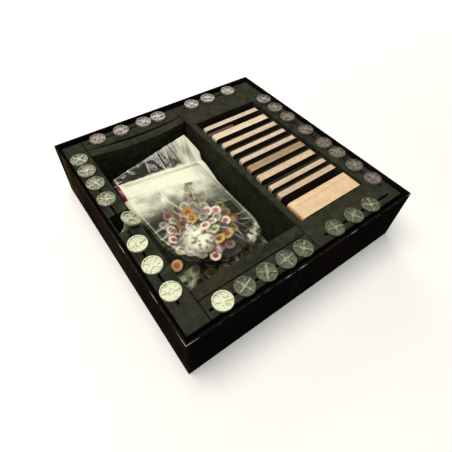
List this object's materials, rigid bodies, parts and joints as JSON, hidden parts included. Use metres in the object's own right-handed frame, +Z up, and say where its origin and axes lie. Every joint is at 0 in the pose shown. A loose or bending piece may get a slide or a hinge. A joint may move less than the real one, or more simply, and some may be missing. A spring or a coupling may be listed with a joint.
{
  "type": "board game box",
  "caption": "Open square board game box base with a foam insert that holds card decks on edge, figures head down in pockets and zip bags of round tokens.",
  "frame": {"origin": "middle of the underside of the box", "axes": "+X to the card side, +Y to the back, +Z up out of the open mouth"},
  "size_m": [0.295, 0.295, 0.0814],
  "materials": {
    "printed_paper": "satin",
    "greyboard": "matte",
    "stay_paper": "matte",
    "foam": "matte",
    "cards": "matte",
    "big_cards": "matte",
    "small_cards": "matte",
    "cream_plastic": "satin",
    "clear_plastic": "satin",
    "bag_film": "gloss",
    "zip_plastic": "gloss",
    "white_card": "satin",
    "yellow_card": "satin",
    "red_card": "satin"
  },
  "bodies": {
    "box": {"bottom_sheet": "printed_paper", "board_tray": "greyboard", "corner_stays": "stay_paper", "printed_wrap": "printed_paper", "foam_base_sheet": "foam"},
    "left_foam": {"foam_left_block": "foam"},
    "front_foam": {"foam_front_block": "foam"},
    "front_packing": {"foam_front_packing": "foam"},
    "back_foam": {"foam_back_block": "foam"},
    "back_packing": {"foam_back_packing": "foam"},
    "right_foam": {"foam_right_block": "foam", "card_dividers": "foam"},
    "card_deck_1": {"card_deck_1": "cards"},
    "card_deck_2": {"card_deck_2": "cards"},
    "card_deck_3": {"card_deck_3": "cards"},
    "card_deck_4": {"card_deck_4": "cards"},
    "card_deck_5": {"card_deck_5": "cards"},
    "card_deck_6": {"card_deck_6": "cards"},
    "card_deck_7": {"card_deck_7": "cards"},
    "card_deck_8": {"card_deck_8": "cards"},
    "card_deck_9": {"card_deck_9": "cards"},
    "big_card_deck": {"big_card_deck": "big_cards"},
    "small_card_deck": {"small_card_deck": "small_cards"},
    "figure_left_1": {"figure_left_1": "clear_plastic"},
    "figure_left_2": {"figure_left_2": "clear_plastic"},
    "figure_left_3": {"figure_left_3": "clear_plastic"},
    "figure_left_4": {"figure_left_4": "clear_plastic"},
    "figure_left_5": {"figure_left_5": "cream_plastic"},
    "figure_left_6": {"figure_left_6": "cream_plastic"},
    "figure_left_7": {"figure_left_7": "cream_plastic"},
    "figure_front_1": {"figure_front_1": "cream_plastic"},
    "figure_front_2": {"figure_front_2": "clear_plastic"},
    "figure_front_3": {"figure_front_3": "clear_plastic"},
    "figure_front_4": {"figure_front_4": "clear_plastic"},
    "figure_front_5": {"figure_front_5": "clear_plastic"},
    "figure_front_6": {"figure_front_6": "clear_plastic"},
    "figure_front_7": {"figure_front_7": "clear_plastic"},
    "figure_front_8": {"figure_front_8": "clear_plastic"},
    "figure_right_1": {"figure_right_1": "clear_plastic"},
    "figure_right_2": {"figure_right_2": "clear_plastic"},
    "figure_right_3": {"figure_right_3": "clear_plastic"},
    "figure_right_4": {"figure_right_4": "clear_plastic"},
    "figure_right_5": {"figure_right_5": "clear_plastic"},
    "figure_right_6": {"figure_right_6": "clear_plastic"},
    "figure_right_7": {"figure_right_7": "clear_plastic"},
    "figure_right_8": {"figure_right_8": "clear_plastic"},
    "figure_back_1": {"figure_back_1": "clear_plastic"},
    "figure_back_2": {"figure_back_2": "clear_plastic"},
    "figure_back_3": {"figure_back_3": "clear_plastic"},
    "figure_back_4": {"figure_back_4": "clear_plastic"},
    "figure_back_5": {"figure_back_5": "clear_plastic"},
    "figure_back_6": {"figure_back_6": "clear_plastic"},
    "figure_back_7": {"figure_back_7": "clear_plastic"},
    "figure_left_tipped": {"figure_left_tipped": "cream_plastic"},
    "lower_bag": {"lower_bag": "bag_film"},
    "upper_bag": {"upper_bag": "bag_film", "zip_strip": "zip_plastic", "white_tokens": "white_card", "yellow_tokens": "yellow_card", "red_tokens": "red_card"}
  },
  "joints": [
    {"name": "lift_left_foam", "type": "slide", "parent": "box", "child": "left_foam", "axis": [0, 0, 1], "range_m": [0, 0.075]},
    {"name": "lift_front_foam", "type": "slide", "parent": "box", "child": "front_foam", "axis": [0, 0, 1], "range_m": [0, 0.075]},
    {"name": "lift_front_packing", "type": "slide", "parent": "box", "child": "front_packing", "axis": [0, 0, 1], "range_m": [0, 0.075]},
    {"name": "lift_back_foam", "type": "slide", "parent": "box", "child": "back_foam", "axis": [0, 0, 1], "range_m": [0, 0.075]},
    {"name": "lift_back_packing", "type": "slide", "parent": "box", "child": "back_packing", "axis": [0, 0, 1], "range_m": [0, 0.075]},
    {"name": "lift_right_foam", "type": "slide", "parent": "box", "child": "right_foam", "axis": [0, 0, 1], "range_m": [0, 0.075]},
    {"name": "lift_card_deck_1", "type": "slide", "parent": "right_foam", "child": "card_deck_1", "axis": [0, 0, 1], "range_m": [0, 0.075]},
    {"name": "lift_card_deck_2", "type": "slide", "parent": "right_foam", "child": "card_deck_2", "axis": [0, 0, 1], "range_m": [0, 0.075]},
    {"name": "lift_card_deck_3", "type": "slide", "parent": "right_foam", "child": "card_deck_3", "axis": [0, 0, 1], "range_m": [0, 0.075]},
    {"name": "lift_card_deck_4", "type": "slide", "parent": "right_foam", "child": "card_deck_4", "axis": [0, 0, 1], "range_m": [0, 0.075]},
    {"name": "lift_card_deck_5", "type": "slide", "parent": "right_foam", "child": "card_deck_5", "axis": [0, 0, 1], "range_m": [0, 0.075]},
    {"name": "lift_card_deck_6", "type": "slide", "parent": "right_foam", "child": "card_deck_6", "axis": [0, 0, 1], "range_m": [0, 0.075]},
    {"name": "lift_card_deck_7", "type": "slide", "parent": "right_foam", "child": "card_deck_7", "axis": [0, 0, 1], "range_m": [0, 0.075]},
    {"name": "lift_card_deck_8", "type": "slide", "parent": "right_foam", "child": "card_deck_8", "axis": [0, 0, 1], "range_m": [0, 0.075]},
    {"name": "lift_card_deck_9", "type": "slide", "parent": "right_foam", "child": "card_deck_9", "axis": [0, 0, 1], "range_m": [0, 0.075]},
    {"name": "lift_big_card_deck", "type": "slide", "parent": "right_foam", "child": "big_card_deck", "axis": [0, 0, 1], "range_m": [0, 0.075]},
    {"name": "lift_small_card_deck", "type": "slide", "parent": "right_foam", "child": "small_card_deck", "axis": [0, 0, 1], "range_m": [0, 0.075]},
    {"name": "lift_figure_left_1", "type": "slide", "parent": "left_foam", "child": "figure_left_1", "axis": [0, 0, 1], "range_m": [0, 0.04]},
    {"name": "lift_figure_left_2", "type": "slide", "parent": "left_foam", "child": "figure_left_2", "axis": [0, 0, 1], "range_m": [0, 0.04]},
    {"name": "lift_figure_left_3", "type": "slide", "parent": "left_foam", "child": "figure_left_3", "axis": [0, 0, 1], "range_m": [0, 0.04]},
    {"name": "lift_figure_left_4", "type": "slide", "parent": "left_foam", "child": "figure_left_4", "axis": [0, 0, 1], "range_m": [0, 0.04]},
    {"name": "lift_figure_left_5", "type": "slide", "parent": "left_foam", "child": "figure_left_5", "axis": [0, 0, 1], "range_m": [0, 0.04]},
    {"name": "lift_figure_left_6", "type": "slide", "parent": "left_foam", "child": "figure_left_6", "axis": [0, 0, 1], "range_m": [0, 0.04]},
    {"name": "lift_figure_left_7", "type": "slide", "parent": "left_foam", "child": "figure_left_7", "axis": [0, 0, 1], "range_m": [0, 0.04]},
    {"name": "lift_figure_front_1", "type": "slide", "parent": "front_foam", "child": "figure_front_1", "axis": [0, 0, 1], "range_m": [0, 0.04]},
    {"name": "lift_figure_front_2", "type": "slide", "parent": "front_foam", "child": "figure_front_2", "axis": [0, 0, 1], "range_m": [0, 0.04]},
    {"name": "lift_figure_front_3", "type": "slide", "parent": "front_foam", "child": "figure_front_3", "axis": [0, 0, 1], "range_m": [0, 0.04]},
    {"name": "lift_figure_front_4", "type": "slide", "parent": "front_foam", "child": "figure_front_4", "axis": [0, 0, 1], "range_m": [0, 0.04]},
    {"name": "lift_figure_front_5", "type": "slide", "parent": "front_foam", "child": "figure_front_5", "axis": [0, 0, 1], "range_m": [0, 0.04]},
    {"name": "lift_figure_front_6", "type": "slide", "parent": "right_foam", "child": "figure_front_6", "axis": [0, 0, 1], "range_m": [0, 0.04]},
    {"name": "lift_figure_front_7", "type": "slide", "parent": "right_foam", "child": "figure_front_7", "axis": [0, 0, 1], "range_m": [0, 0.04]},
    {"name": "lift_figure_front_8", "type": "slide", "parent": "right_foam", "child": "figure_front_8", "axis": [0, 0, 1], "range_m": [0, 0.04]},
    {"name": "lift_figure_right_1", "type": "slide", "parent": "right_foam", "child": "figure_right_1", "axis": [0, 0, 1], "range_m": [0, 0.04]},
    {"name": "lift_figure_right_2", "type": "slide", "parent": "right_foam", "child": "figure_right_2", "axis": [0, 0, 1], "range_m": [0, 0.04]},
    {"name": "lift_figure_right_3", "type": "slide", "parent": "right_foam", "child": "figure_right_3", "axis": [0, 0, 1], "range_m": [0, 0.04]},
    {"name": "lift_figure_right_4", "type": "slide", "parent": "right_foam", "child": "figure_right_4", "axis": [0, 0, 1], "range_m": [0, 0.04]},
    {"name": "lift_figure_right_5", "type": "slide", "parent": "right_foam", "child": "figure_right_5", "axis": [0, 0, 1], "range_m": [0, 0.04]},
    {"name": "lift_figure_right_6", "type": "slide", "parent": "right_foam", "child": "figure_right_6", "axis": [0, 0, 1], "range_m": [0, 0.04]},
    {"name": "lift_figure_right_7", "type": "slide", "parent": "right_foam", "child": "figure_right_7", "axis": [0, 0, 1], "range_m": [0, 0.04]},
    {"name": "lift_figure_right_8", "type": "slide", "parent": "right_foam", "child": "figure_right_8", "axis": [0, 0, 1], "range_m": [0, 0.04]},
    {"name": "lift_figure_back_1", "type": "slide", "parent": "back_foam", "child": "figure_back_1", "axis": [0, 0, 1], "range_m": [0, 0.04]},
    {"name": "lift_figure_back_2", "type": "slide", "parent": "back_foam", "child": "figure_back_2", "axis": [0, 0, 1], "range_m": [0, 0.04]},
    {"name": "lift_figure_back_3", "type": "slide", "parent": "back_foam", "child": "figure_back_3", "axis": [0, 0, 1], "range_m": [0, 0.04]},
    {"name": "lift_figure_back_4", "type": "slide", "parent": "back_foam", "child": "figure_back_4", "axis": [0, 0, 1], "range_m": [0, 0.04]},
    {"name": "lift_figure_back_5", "type": "slide", "parent": "right_foam", "child": "figure_back_5", "axis": [0, 0, 1], "range_m": [0, 0.04]},
    {"name": "lift_figure_back_6", "type": "slide", "parent": "right_foam", "child": "figure_back_6", "axis": [0, 0, 1], "range_m": [0, 0.04]},
    {"name": "lift_figure_back_7", "type": "slide", "parent": "right_foam", "child": "figure_back_7", "axis": [0, 0, 1], "range_m": [0, 0.04]},
    {"name": "lift_figure_left_tipped", "type": "slide", "parent": "left_foam", "child": "figure_left_tipped", "axis": [0, 0, 1], "range_m": [0, 0.04]},
    {"name": "lift_lower_bag", "type": "slide", "parent": "box", "child": "lower_bag", "axis": [0, 0, 1], "range_m": [0, 0.075]},
    {"name": "lift_upper_bag", "type": "slide", "parent": "lower_bag", "child": "upper_bag", "axis": [0, 0, 1], "range_m": [0, 0.06]}
  ]
}
